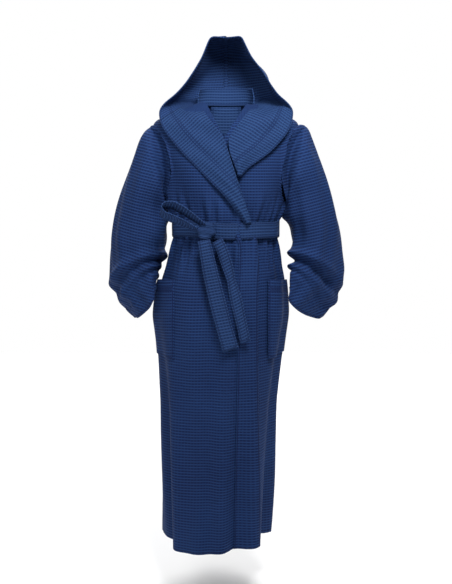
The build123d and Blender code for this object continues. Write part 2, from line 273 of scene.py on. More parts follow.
@dataclass(frozen=True)
class TapeWeave:
    """Narrow woven tape or satin label: fine cross ribs, slightly smoother than the cotton. The gap colour between the
    ribs is painted shade.
    """

    name: str
    thread: str
    # The colour between the ribs: painted shade.
    gap: str
    pitch: float = 0.0016
    roughness: float = 0.6

    def build(self) -> bpy.types.Material:
        """Make the material. Its ribs are drawn twice as coarse as real thread so that they show."""
        material = bpy.data.materials.new(self.name)
        material.use_nodes = True
        tree = material.node_tree
        tree.nodes.clear()
        uv = add_node(tree, "ShaderNodeUVMap", {"uv_map": "cloth"})
        split = add_node(tree, "ShaderNodeSeparateXYZ", Vector=uv.outputs["UV"])
        turn = add_node(tree, "ShaderNodeMath", {"operation": "MULTIPLY"}, i0=split.outputs["Y"],
                        i1=2 * math.pi / self.pitch)
        swing = add_node(tree, "ShaderNodeMath", {"operation": "SINE"}, i0=turn.outputs[0])
        up = add_node(tree, "ShaderNodeMath", {"operation": "MULTIPLY_ADD"}, i0=swing.outputs[0], i1=0.5, i2=0.5)
        # From the thread colour on the ribs to the darker gap colour between them: painted shade.
        colour = add_node(tree, "ShaderNodeMix", {"data_type": "RGBA"}, i0=up.outputs[0], i6=linear(self.gap),
                          i7=linear(self.thread))
        raised = add_node(tree, "ShaderNodeBump", Strength=0.6, Distance=0.0004, Height=up.outputs[0])
        cloth = add_node(tree, "ShaderNodeBsdfPrincipled", Base_Color=colour.outputs[2], Roughness=self.roughness,
                         Normal=raised.outputs["Normal"])
        cloth.inputs["Sheen Weight"].default_value = 0.15
        add_node(tree, "ShaderNodeOutputMaterial", Surface=cloth.outputs["BSDF"])
        material.diffuse_color = linear(self.thread)
        return material


class Finishes:
    """Every finish of the robe, made once. The hood, collar, neck band and belt cottons are lighter copies of the body
    cotton: painted light.
    """

    def __init__(self) -> None:
        """Build the materials."""
        self.body = WaffleCotton("waffle_cotton_navy").build()
        # The hood cotton is a lighter copy of the body cotton: painted light.
        self.hood = WaffleCotton("waffle_cotton_hood_painted_light", rib="#2c4a7e", pit_shade="#13254c").build()
        # The collar cotton is a lighter copy of the body cotton: painted light.
        self.collar = WaffleCotton("waffle_cotton_collar", rib="#2d4c7c", pit_shade="#132750", depth=0.0013).build()
        # The neck band cotton is a much lighter copy of the body cotton: painted light in the shade inside the neck.
        self.neck = WaffleCotton("waffle_cotton_neck_band_painted_light", rib="#3a5a8f", pit_shade="#1c3462").build()
        # The belt cotton is a lighter copy of the body cotton: painted light.
        self.belt = WaffleCotton("waffle_cotton_belt_painted_light", rib="#2f4d80", pit_shade="#14264b", hem_stitch=0.005).build()
        # The second colour of each tape is the painted shade between its ribs.
        self.tape = TapeWeave("twill_tape_navy", "#1d335f", "#0e1c3a").build()
        self.label = TapeWeave("satin_tape_white", "#e9e7e0", "#cfccc4", roughness=0.4).build()


# ---------------------------------------------------------------- cloth pieces


@dataclass
class Cloth:
    """One flat-cut piece of cloth, shaped as a grid of points.

    Attributes:
        name: the piece's name.
        points: grid of points, rows by columns.
        uv: metres of cloth at each point, across and along.
        hem: metres to the nearest stitched hem at each point.
        closed: whether the last column joins the first.
        thickness: how thick the cloth is.
        keep: which points the piece has, or None for all.
    """

    name: str
    points: Array
    uv: Array | None = None
    hem: Array | None = None
    closed: bool = False
    thickness: float = 0.0022
    keep: Array | None = None

    def build(self, finish: bpy.types.Material, outwards: bool = True) -> bpy.types.Object:
        """Make the mesh, give it its thickness and dress it.

        Args:
            finish: the material.
            outwards: whether the grid's normal side is the outside of the cloth.

        Returns:
            The finished object.
        """
        rows, columns = self.points.shape[:2]
        uv = self.uv if self.uv is not None else self.natural_uv()
        hem = self.hem if self.hem is not None else np.full((rows, columns), 1.0)
        index = np.arange(rows * columns).reshape(rows, columns)
        right = np.roll(index, -1, axis=1) if self.closed else index[:, 1:]
        left = index if self.closed else index[:, :-1]
        quads = np.stack([left[:-1], right[:-1], right[1:], left[1:]], axis=-1).reshape(-1, 4)
        if self.keep is not None:
            quads = quads[self.keep.reshape(-1)[quads].all(axis=1)]
        if not outwards:
            quads = quads[:, ::-1]
        used = np.unique(quads)
        renumber = np.full(rows * columns, -1)
        renumber[used] = np.arange(len(used))
        mesh = bpy.data.meshes.new(self.name)
        mesh.from_pydata(self.points.reshape(-1, 3)[used].tolist(), [], renumber[quads].tolist())
        layer = mesh.uv_layers.new(name="cloth")
        flat_uv = uv.reshape(-1, 2)[used]
        corner = np.array([loop.vertex_index for loop in mesh.loops])
        corner_uv = flat_uv[corner]
        if self.closed:
            corner_uv = self.unwrap_seam(mesh, corner_uv, float(uv[..., 0].max()))
        layer.data.foreach_set("uv", corner_uv.reshape(-1).astype(np.float32))
        attribute = mesh.attributes.new("hem", "FLOAT", "POINT")
        attribute.data.foreach_set("value", hem.reshape(-1)[used].astype(np.float32))
        mesh.materials.append(finish)
        piece = bpy.data.objects.new(self.name, mesh)
        bpy.context.scene.collection.objects.link(piece)
        thicken(piece, self.thickness)
        return piece

    def natural_uv(self) -> Array:
        """Metres along the rows and the columns of the grid."""
        down = lengths(self.points)
        across = np.swapaxes(lengths(np.swapaxes(self.points, 0, 1)), 0, 1)
        middle = across.mean(axis=0)
        return np.stack([np.broadcast_to(middle, down.shape), down], axis=-1)

    def unwrap_seam(self, mesh: bpy.types.Mesh, corner_uv: Array, girth: float) -> Array:
        """Carry the last column's cloth on past the seam instead of back to its start."""
        start = 0
        for polygon in mesh.polygons:
            stop = start + polygon.loop_total
            spread = corner_uv[start:stop, 0]
            if spread.max() - spread.min() > girth / 2:
                step = girth / (self.points.shape[1] - 1)
                corner_uv[start:stop, 0] = np.where(spread < girth / 2, spread + girth + step, spread)
            start = stop
        return corner_uv


def thicken(piece: bpy.types.Object, thickness: float) -> None:
    """Give a sheet its thickness, inwards from its outside, and shade it smooth."""
    for other in bpy.context.selected_objects:
        other.select_set(False)
    bpy.context.view_layer.objects.active = piece
    piece.select_set(True)
    solid = piece.modifiers.new("cloth", "SOLIDIFY")
    solid.thickness = thickness
    solid.offset = -1.0
    solid.use_even_offset = False
    bpy.ops.object.modifier_apply(modifier=solid.name)
    bpy.ops.object.shade_smooth()
    piece.select_set(False)


def declare(piece: bpy.types.Object, flat: tuple[float, float], replaced: Sequence[str] = ()) -> None:
    """Log a sheet's cut size and shaped area, and hide the CAD nodes it stands for."""
    if replaced:
        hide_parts(*replaced)
    log.info("%s: cut %.2f by %.2f m, %.4f square metres shaped", piece.name, *flat,
             sum(face.area for face in piece.data.polygons) / 2)


# ---------------------------------------------------------------- the form of the body


@dataclass
class BodyForm:
    """The shape that the robe hangs in: rings of (height, centre x, centre y, half width, half depth)."""

    rings: tuple[tuple[float, ...], ...] = (
        mm(-5, 0, -62, 80, 66), mm(-55, 0, -80, 205, 88), mm(-150, 0, -93, 203, 112), mm(-285, 0, -103, 168, 116),
        mm(-352, -1, -108, 137, 110), mm(-430, -6, -110, 152, 122), mm(-500, -11, -111, 171, 134),
        mm(-600, -17, -112, 186, 143), mm(-720, -20, -113, 175, 142), mm(-860, -23, -114, 163, 142),
        mm(-1090, -25, -115, 157, 145), mm(-1272, -28, -115, 150, 150),
    )
    belt_height: float = -0.352
    table: Array = field(init=False)
    run: Array = field(init=False)

    def __post_init__(self) -> None:
        """Round the rings into a fine table, by distance down the side."""
        rings = np.array(self.rings)
        side = np.stack([rings[:, 0], rings[:, 3]], axis=1)
        steps = np.r_[0, np.cumsum(np.linalg.norm(np.diff(side, axis=0), axis=1))]
        self.run = np.linspace(0, steps[-1], 700)
        fine = np.stack([np.interp(self.run, steps, rings[:, k]) for k in range(5)], axis=1)
        self.table = smooth_along(fine, 90)

    @property
    def length(self) -> float:
        """Distance down the side, from the neck to the hem."""
        return float(self.run[-1])

    def ring(self, run: Array) -> tuple[Array, ...]:
        """Height, centre x, centre y, half width and half depth at distances down the side."""
        return tuple(np.interp(run, self.run, self.table[:, k]) for k in range(5))

    def run_at(self, height: float) -> float:
        """Distance down the side at a height."""
        return float(np.interp(-height, -self.table[:, 0], self.run))

    def folds(self, angle: Array, z: Array) -> Array:
        """How far the cloth stands out in folds and pleats, at angles round the body and heights."""
        below = smoothstep(-z, 0.36, 0.44)
        above = 1 - smoothstep(-z, 0.26, 0.34)
        skirt = smoothstep(-z, 0.50, 1.25)
        pleats = np.sin(23 * angle + 1.3 * np.sin(3 * angle)) + 0.7 * np.sin(37 * angle + 0.8)
        near_belt = bump(z, self.belt_height - 0.055, 0.055) + 0.8 * bump(z, self.belt_height + 0.045, 0.04)
        gather = 0.0048 * pleats * near_belt
        long_folds = np.sin(5 * angle + 1.1 + 1.2 * z) + 0.8 * np.sin(8 * angle - 0.6 - 1.7 * z) + 0.4 * np.sin(
            13 * angle + 2.4 + 0.8 * z)
        hanging = long_folds * (0.0040 * below + 0.0075 * skirt)
        drag = 0.0042 * np.sin(7 * angle + 16 * z) * above + 0.0034 * np.sin(5 * angle - 21 * z + 1.0) * above
        creases = 0.0022 * np.sin(9 * angle + 9 * z) * smoothstep(-z, 0.40, 0.55)
        return gather + hanging + drag * smoothstep(-z, 0.04, 0.12) + creases

    def point(self, angle: Array, run: Array, grow: Array | float = 0.0, folds: float = 1.0) -> Array:
        """Points on the cloth.

        Args:
            angle: round the body in radians, 0 at the wearer's left side and -pi/2 in front.
            run: distance down the side.
            grow: how far outside the form.
            folds: how much of the folds shows.

        Returns:
            Points, in metres.
        """
        z, cx, cy, a, b = self.ring(run)
        out = grow + folds * self.folds(angle, z)
        lift = out * (1 - smoothstep(run, 0.06, 0.17))
        right_low = smoothstep(np.cos(angle) * a, -0.04, 0.10) * smoothstep(-np.sin(angle), 0, 0.5)
        lift = lift + 0.014 * right_low * smoothstep(-z, 0.95, 1.27)
        return np.stack([cx + (a + out) * np.cos(angle), cy + (b + out) * np.sin(angle),
                         z + lift + 0 * angle], axis=-1)

    def angle_at(self, x: Array, run: Array, grow: float = 0.0) -> Array:
        """The angle of the front of the body at an x."""
        _, cx, _, a, _ = self.ring(run)
        return -np.arccos(np.clip((x - cx) / (a + grow), -1, 1))

    def front(self, x: Array, z: Array, grow: Array | float = 0.0, folds: float = 1.0) -> Array:
        """Points on the front of the cloth at an x and a height."""
        run = np.interp(-np.asarray(z), -self.table[:, 0], self.run)
        _, cx, cy, a, b = self.ring(run)
        angle = -np.arccos(np.clip((x - cx) / a, -0.999, 0.999))
        out = grow + folds * self.folds(angle, z)
        return np.stack([x + 0 * angle, cy + (b + out) * np.sin(angle), z + 0 * angle], axis=-1)

    def side(self, side: Side, y: Array, z: Array, grow: float = 0.0) -> Array:
        """Points on the side of the cloth at a y and a height."""
        run = np.interp(-np.asarray(z), -self.table[:, 0], self.run)
        _, cx, cy, a, b = self.ring(run)
        x = cx + side.value * (a + grow) * np.sqrt(np.clip(1 - ((y - cy) / (b + grow)) ** 2, 0, 1))
        return np.stack([x, y + 0 * x, z + 0 * x], axis=-1)


# Lines drawn from the front as (height, x), used by the panels and what is sewn to them
OVERLAP_EDGE = ((0.012, -0.066), (-0.102, -0.005), (-0.205, 0.028), (-0.300, 0.060), (-0.345, 0.072),
                (-0.390, 0.088), (-1.300, 0.084))
UNDERLAP_EDGE = ((0.012, 0.066), (-0.102, -0.005), (-0.205, -0.040), (-0.330, -0.070), (-1.262, -0.075))


def edge_x(line: Sequence[tuple[float, float]], z: Array) -> Array:
    """The x of a line at heights."""
    heights = np.array([p[0] for p in line])
    return np.interp(-np.asarray(z), -heights, np.array([p[1] for p in line]))


@dataclass
class Armhole:
    """The oval hole where a sleeve is set in."""

    side: Side
    centre_y: float = -0.092
    centre_z: float = -0.182
    half_depth: float = 0.074
    half_height: float = 0.112

    def inside(self, points: Array, scale: float = 1.0) -> Array:
        """How far inside the hole points lie: under 1 is inside."""
        on_side = points[..., 0] * self.side.value > 0.1
        r = np.hypot((points[..., 1] - self.centre_y) / self.half_depth, (points[..., 2] - self.centre_z) / self.half_height)
        return np.where(on_side, r / scale, 9.0)

    def trim(self, points: Array) -> tuple[Array, Array]:
        """Draw the points just outside the hole on to its edge.

        Returns:
            The points and which of them the cloth keeps.
        """
        r = self.inside(points)
        keep = r > 0.90
        near = keep & (r < 1.0)
        moved = points.copy()
        for k, centre in ((1, self.centre_y), (2, self.centre_z)):
            moved[..., k] = np.where(near, centre + (points[..., k] - centre) / np.maximum(r, 1e-6), points[..., k])
        return moved, keep


@dataclass
class Panels:
    """The back, the two fronts and the strips sewn to them."""

    form: BodyForm
    finishes: Finishes
    rows: int = 190

    def panel(self, name: str, first: Callable[[Array], Array], last: Callable[[Array], Array], columns: int,
              grow: float, holes: Sequence[Armhole], foot: float = 0.0, folds: float = 1.0) -> Cloth:
        """Shape one panel between two lines down the body.

        Args:
            name: the piece's name.
            first: the angle of its first edge, from the distance down the side.
            last: the angle of its last edge.
            columns: points across.
            grow: how far outside the form it hangs.
            holes: the armholes it has.
            foot: how much higher than the longest panel it ends.
            folds: how much it folds.

        Returns:
            The shaped cloth.
        """
        run = np.linspace(0, self.form.length - foot, self.rows)
        share = np.linspace(0, 1, columns)
        a0, a1 = first(run)[:, None], last(run)[:, None]
        angle = a0 + (a1 - a0) * share[None, :]
        depth = np.broadcast_to(run[:, None], angle.shape)
        from_seam = smoothstep(np.abs(np.sin(angle)), 0.0, 0.45)
        points = self.form.point(angle, depth, 0.002 + (grow - 0.002) * from_seam, 1 + (folds - 1) * from_seam)
        keep = np.ones(angle.shape, bool)
        for hole in holes:
            points, kept = hole.trim(points)
            keep &= kept
        reach = self.form.ring(run)[3][:, None] * 1.0
        uv = np.stack([(angle + math.pi / 2) * np.maximum(reach, 0.13), depth], axis=-1)
        hem = self.form.length - foot - depth
        return Cloth(name, points, uv, hem + 0.0, keep=keep)

    def build(self) -> list[bpy.types.Object]:
        """Make the back, the right front that laps over and the left front under it."""
        form = self.form
        right_seam = lambda run: np.full_like(run, -math.pi)
        left_seam = lambda run: np.zeros_like(run)
        made = []

        back = self.panel("back_panel_cloth", lambda r: np.full_like(r, math.pi), left_seam, 110, 0.002,
                          [Armhole(Side.RIGHT), Armhole(Side.LEFT)])
        piece = back.build(self.finishes.body)
        declare(piece, (0.66, 1.40), ["back_panel"])
        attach(piece, "robe")
        made.append(piece)

        over = self.panel("right_front_cloth", right_seam,
                          lambda r: form.angle_at(edge_x(OVERLAP_EDGE, form.ring(r)[0]), r, 0.002), 100, 0.003,
                          [Armhole(Side.RIGHT)])
        piece = over.build(self.finishes.body)
        declare(piece, (0.50, 1.40), ["right_front_panel"])
        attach(piece, "robe")
        made.append(piece)

        under = self.panel("left_front_cloth", left_seam,
                           lambda r: form.angle_at(edge_x(UNDERLAP_EDGE, form.ring(r)[0]), r, -0.004), 90, -0.002,
                           [Armhole(Side.LEFT)], foot=0.004, folds=0.8)
        piece = under.build(self.finishes.body, outwards=False)
        declare(piece, (0.45, 1.39), ["left_front_panel"])
        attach(piece, "robe")
        made.append(piece)
        made.append(self.front_band())
        made.append(self.under_band())
        return made

    def strip(self, name: str, line: Sequence[tuple[float, float]], inner: float, top: float, foot: float,
              grow: float, outwards: bool) -> bpy.types.Object:
        """A long strip sewn along the edge of a front."""
        run = np.linspace(self.form.run_at(top), self.form.run_at(foot), 150)
        z = self.form.ring(run)[0]
        edge = edge_x(line, z)
        share = np.linspace(0, 1, 12)
        x = edge[:, None] + inner * (1 - share)[None, :]
        depth = np.broadcast_to(run[:, None], x.shape)
        angle = self.form.angle_at(x, depth, grow)
        points = self.form.point(angle, depth, grow)
        across = np.abs(x - edge[:, None])
        uv = np.stack([x, depth], axis=-1)
        hem = np.minimum(across, np.abs(abs(inner) - across)) + 0.003
        return Cloth(name, points, uv, hem, thickness=0.0026).build(self.finishes.body, outwards)

    def front_band(self) -> bpy.types.Object:
        """The sewn strip down the lapping edge, below the belt."""
        piece = self.strip("right_front_band_cloth", OVERLAP_EDGE, -0.056, -0.330, -1.2715, 0.0062, True)
        declare(piece, (0.056, 0.95), ["right_front_band"])
        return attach(piece, "robe")

    def under_band(self) -> bpy.types.Object:
        """The sewn strip down the hidden edge, on the inside."""
        piece = self.strip("left_front_band_cloth", UNDERLAP_EDGE, 0.056, -0.330, -1.258, -0.0062, False)
        declare(piece, (0.056, 0.94), ["left_front_band"])
        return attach(piece, "robe")


# ---------------------------------------------------------------- hood and collar


@dataclass
class HoodAndCollar:
    """The hood and the shawl collar, one long turned edge from the peak to the belt.

    Each side is a surface between its opening edge and the line where it is sewn or rolled.
    """

    form: BodyForm
    finishes: Finishes
    peak: float = 0.188
    split: float = 0.47
    rows: int = 120
    columns: int = 40
    blend_from: float = 0.0
    blend_to: float = 0.090

    def edge_line(self, side: Side) -> list[tuple[float, float, float]]:
        """The opening edge, from the peak round the face and down the chest."""
        over = side is Side.RIGHT
        upper = [(0, -62, 183), (24, -68, 184), (44, -71, 187), (54, -78, 162), (66, -86, 126), (88, -96, 84),
                 (112, -104, 50), (142, -112, 20), (172, -118, -2), (188, -124, -22), (186, -136, -46)]
        if over:
            lower = [(178, -148, -70), (150, -166, -108), (120, -186, -142), (84, -204, -178), (50, -216, -212),
                     (3, -226, -258), (-30, -226, -302), (-51, -221, -331)]
        else:
            lower = [(180, -146, -68), (166, -160, -92), (140, -176, -122), (118, -188, -143), (86, -200, -165),
                     (54, -208, -186), (40, -212, -204)]
        fuller = 5 if over else 16
        upper = [(x + fuller * math.exp(-((z - 75) / 50) ** 2) * (x > 0), y, z) for x, y, z in upper]
        sign = side.value
        return [tuple(v / 1000 for v in (sign * x, y, z)) for x, y, z in upper + lower]

    def sewn_line(self, side: Side) -> list[tuple[float, float, float]]:
        """The middle seam of the hood, the neck seam and the roll of the collar, from the peak down."""
        over = side is Side.RIGHT
        upper = [(0, -60, 184), (0, -20, 188), (0, 22, 181), (0, 46, 160), (0, 56, 126), (0, 50, 90), (0, 36, 60),
                 (0, 20, 30), (0, 12, 8), (30, 9, 2), (58, -12, 0), (75, -44, -4), (79, -75, -10)]
        if over:
            lower = [(62, -120, -28), (36, -160, -62), (5, -196, -102), (-28, -216, -205), (-60, -222, -300),
                     (-67, -219, -333)]
        else:
            lower = [(62, -120, -28), (36, -160, -62), (5, -194, -102), (8, -206, -140), (22, -212, -176),
                     (34, -214, -204)]
        sign = side.value
        return [tuple(v / 1000 for v in (sign * x, y, z)) for x, y, z in upper + lower]

    def surface(self, side: Side) -> tuple[Array, Array, Array]:
        """The whole side as a grid, with its cloth lengths and its distance from the opening edge."""
        edge = through(self.edge_line(side), self.rows, 5)
        sewn = through(self.sewn_line(side), self.rows, 5)
        share = np.linspace(0, 1, self.columns)[None, :]
        phase = share * math.pi / 2
        e, s = edge[:, None, :], sewn[:, None, :]
        wide, deep = np.sin(phase) ** 0.75, np.cos(phase) ** 0.75
        rounded = np.stack([
            s[..., 0] + (e[..., 0] - s[..., 0]) * wide,
            e[..., 1] + (s[..., 1] - e[..., 1]) * deep,
            s[..., 2] + (e[..., 2] - s[..., 2]) * share,
        ], axis=-1)
        if side is Side.LEFT:
            rounded[..., 0] += 0.020 * bump(share, 0.70, 0.2) * bump(rounded[..., 2], 0.085, 0.045)
        lying = s + (e - s) * share[..., None]
        arch = np.sin(math.pi * share)
        lying[..., 1] -= 0.010 * arch
        lying[..., 2] += 0.012 * arch * smoothstep(lying[..., 2], -0.12, -0.02)
        self.lay_on_body(lying, 0.009 if side is Side.RIGHT else 0.006, share)
        down = smoothstep(-(s + (e - s) * share[..., None])[..., 2], -0.05, 0.07)[..., None]
        points = rounded * (1 - down) + lying * down
        points += self.creases(points, share)[..., None] * grid_normals(points)
        across = np.swapaxes(lengths(np.swapaxes(points, 0, 1)), 0, 1)
        width = across[:, -1:]
        along = lengths(edge[:, None, :])[:, 0][:, None]
        uv = np.stack([width - across, np.broadcast_to(along, across.shape)], axis=-1)
        return points, uv, width - across

    def lay_on_body(self, points: Array, layer: float, share: Array) -> None:
        """Bring points that lie too deep out to the front of the chest.

        Args:
            points: the grid to change.
            layer: how far outside the form the cloth lies.
            share: from 0 at the roll to 1 at the free edge.
        """
        x, z = points[..., 0], points[..., 2]
        run = np.interp(-z, -self.form.table[:, 0], self.form.run)
        _, cx, _, a, _ = self.form.ring(run)
        on_chest = (1 - smoothstep(np.abs(x - cx) / a, 0.80, 0.97)) * smoothstep(-points[..., 1], 0.09, 0.125)
        at_belt = 1 - 0.75 * smoothstep(-z, 0.285, 0.325)
        chest = self.form.front(x, z, 0.0, 0.4)[..., 1] - (layer + 0.008 * np.exp(-share / 0.16)) * at_belt
        sunk = (points[..., 1] - chest) / 0.004
        points[..., 1] -= 0.004 * np.logaddexp(0, np.clip(sunk, -20, 60)) * on_chest

    def creases(self, points: Array, share: Array) -> Array:
        """Soft creases across the hood and the collar."""
        z = points[..., 2]
        hood = smoothstep(z, -0.02, 0.05)
        return (0.0032 * np.sin(46 * z + 5 * share) * hood * np.sin(math.pi * np.clip(share, 0, 1)) +
                0.0016 * np.sin(60 * z - 9 * share) * (1 - hood) * np.sin(math.pi * np.clip(share, 0, 1)))

    def build(self) -> list[bpy.types.Object]:
        """Make both sides of the hood and both collars, with the bands along the opening."""
        made = []
        for side in Side:
            points, uv, from_edge = self.surface(side)
            cut = int(self.rows * self.split)
            name = side.name.lower()
            hem = np.minimum(from_edge, np.abs(from_edge - 0.045)) + 0.0035
            hood = Cloth(f"hood_{name}_cloth", points[:cut + 1], uv[:cut + 1], hem[:cut + 1], thickness=0.003)
            piece = hood.build(self.finishes.hood, outwards=side is Side.LEFT)
            declare(piece, (0.30, 0.36), [f"hood_{name}_half", f"hood_{name}_band"])
            made.append(piece)
            collar = Cloth(f"{name}_collar_cloth", points[cut:], uv[cut:], hem[cut:], thickness=0.003)
            piece = collar.build(self.finishes.collar, outwards=side is Side.LEFT)
            declare(piece, (0.14, 0.42), [f"{name}_collar"])
            made.append(piece)
        for piece in made:
            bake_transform(piece)
        return made


# ---------------------------------------------------------------- sleeves


@dataclass
class Sleeve:
    """A wide sleeve, set in at the armhole and bent at the elbow towards the pocket.

    Each ring is (outer x, outer z), (inner x, inner z), centre y, lean forward in degrees, half depth, and how
    far its front is turned inwards for each millimetre of depth, in mm.
    """

    side: Side
    form: BodyForm
    finishes: Finishes
    rings: tuple = (
        ((-243, -92), (-160, -310), -92, 0, 78, 0),
        ((-284, -208), (-172, -330), -91, 0, 80, 0),
        ((-326, -340), (-170, -396), -90, 0, 82, 0.05),
        ((-341, -470), (-186, -457), -99, 12, 80, 0.25),
        ((-318, -545), (-204, -496), -122, 24, 74, 0.60),
        ((-252, -607), (-212, -540), -148, 34, 62, 0.90),
    )
    swing: float = 1.0
    lift: float = 0.015
    spread: float = 0.0
    gap: float = 0.0
    rows: int = 110
    columns: int = 96
    cuff_rows: int = 9

    def frames(self) -> Array:
        """The centre, the wide half-axis and the deep half-axis of each ring below the armhole."""
        out = []
        for (ox, oz), (ix, iz), y, lean, half_depth, turned in self.rings:
            half = np.array([(ox - ix) / 2, 0, (oz - iz) / 2])
            unit = half / np.linalg.norm(half)
            turn = math.radians(lean)
            down = np.array([-unit[2] * math.cos(turn), -math.sin(turn), unit[0] * math.cos(turn)])
            deep = np.cross(down, unit) * half_depth - np.array([turned * half_depth * self.swing, 0, 0])
            out.append(np.concatenate([[(ox + ix) / 2, y, (oz + iz) / 2], half, deep]) / 1000)
        return np.array(out)

    def surface(self) -> Array:
        """The sleeve as a grid of rings, from the armhole to the cuff, on the wearer's right."""
        turn = np.linspace(0, 2 * math.pi, self.columns, endpoint=False)
        hole = Armhole(Side.RIGHT)
        y = hole.centre_y - hole.half_depth * np.sin(turn) * 1.02
        z = hole.centre_z + hole.half_height * np.cos(turn) * 1.02
        first = self.form.side(Side.RIGHT, y, z, 0.003)
        frames = self.frames()
        steps = np.linspace(0, 1, len(frames))
        fine = np.linspace(0, 1, self.rows - 14)
        smooth = np.stack([np.interp(fine, steps, frames[:, k]) for k in range(9)], axis=1)
        smooth = smooth_along(smooth, 60)
        rings = smooth[:, None, 0:3] + smooth[:, None, 3:6] * np.cos(turn)[None, :, None] - \
            smooth[:, None, 6:9] * np.sin(turn)[None, :, None]
        share = np.linspace(0, 1, 15)[:-1][:, None, None]
        head = first[None] * (1 - share) + rings[0][None] * share
        grid = np.concatenate([head, rings])
        grid[:40] = self.rounded_head(grid[:40])
        row = np.linspace(0, 1, self.rows)[:, None]
        crown = bump(row, 0.05, 0.055) * np.maximum(np.cos(turn), 0)[None, :] ** 2
        grid[..., 2] += self.lift * crown
        grid[..., 0] -= self.spread * crown
        grid[..., 0] -= self.gap * bump(row, 0.47, 0.16) * (0.5 - 0.5 * np.cos(turn))[None, :]
        return grid

    def rounded_head(self, rows: Array) -> Array:
        """Ease the rows after the armhole into each other, with the seam kept."""
        return smooth_along(rows, 40)

    def wrinkles(self, grid: Array) -> Array:
        """How far the cloth stands out in wrinkles, mostly inside the elbow and under the arm."""
        z = grid[..., 2]
        turn = np.linspace(0, 2 * math.pi, self.columns, endpoint=False)[None, :]
        phase = 0.0 if self.side is Side.RIGHT else 1.7
        inner = 0.5 - 0.5 * np.cos(turn)
        front = 0.5 + 0.5 * np.sin(turn)
        row = np.linspace(0, 1, self.rows)[:, None]
        elbow = bump(row, 0.72, 0.15)
        out = 0.0048 * elbow * inner * np.sin(34 * row + 2.2 * np.sin(turn) + phase)
        out += 0.0070 * elbow * front * np.sin(30 * row - 2.0 * np.cos(turn + 0.6) + phase)
        across = row - 0.09 * np.cos(turn + 0.5)
        creased = np.clip(1.3 * front, 0, 1) * (0.011 * bump(across, 0.66, 0.030) - 0.010 * bump(across, 0.72, 0.026) +
                                                0.009 * bump(across, 0.78, 0.028) - 0.006 * bump(across, 0.84, 0.025))
        out += creased
        out += 0.0040 * bump(row, 0.25, 0.18) * np.sin(3 * turn + 17 * row + phase) * (0.4 + inner)
        out += 0.0034 * np.sin(5 * turn + 6.0 * row + 2 * phase) * smoothstep(row, 0.15, 0.4)
        out += 0.0020 * np.sin(9 * turn - 11 * row + phase)
        out = out * smoothstep(row, 0.03, 0.16) * (1 - 0.5 * smoothstep(row, 0.93, 1.0)) + 0 * z
        return out - 0.034 * front ** 2 * bump(row, 0.05, 0.035)

    def build(self) -> list[bpy.types.Object]:
        """Make the sleeve and its cuff facing."""
        grid = self.surface()
        grid += self.wrinkles(grid)[..., None] * -grid_normals(grid)
        if self.side is Side.LEFT:
            grid[..., 0] *= -1
        ring = np.linalg.norm(np.roll(grid, -1, axis=1) - grid, axis=-1).sum(axis=1)
        girth = float(ring.mean())
        u = np.linspace(0, girth * (1 - 1 / self.columns), self.columns)
        down = lengths(grid).mean(axis=1)
        hanging = -0.25 * np.abs(grid[..., 0]) + 0.97 * grid[..., 2]
        uv = np.stack(np.broadcast_arrays(u[None, :], -hanging), axis=-1).astype(float)
        hem = np.broadcast_to((down[-1] - down)[:, None], uv.shape[:2])
        name = self.side.name.lower()
        body = f"{name}_sleeve"
        outwards = self.side is Side.LEFT
        cut = self.rows - self.cuff_rows
        sleeve = Cloth(f"{name}_sleeve_cloth", grid, uv, None, closed=True)
        sleeve_piece = sleeve.build(self.finishes.body, outwards)
        declare(sleeve_piece, (0.50, 0.56), [body])
        swell = grid[cut:] * 1.0
        centre = swell.mean(axis=1, keepdims=True)
        swell = centre + (swell - centre) * 1.025
        cuff = Cloth(f"{name}_cuff_cloth", swell, uv[cut:], hem[cut:] + 0.002, closed=True, thickness=0.0036)
        cuff_piece = cuff.build(self.finishes.body, outwards)
        declare(cuff_piece, (0.32, 0.035), [f"{name}_cuff"])
        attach(cuff_piece, body)
        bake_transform(sleeve_piece)
        return [sleeve_piece, cuff_piece]


# ---------------------------------------------------------------- belt


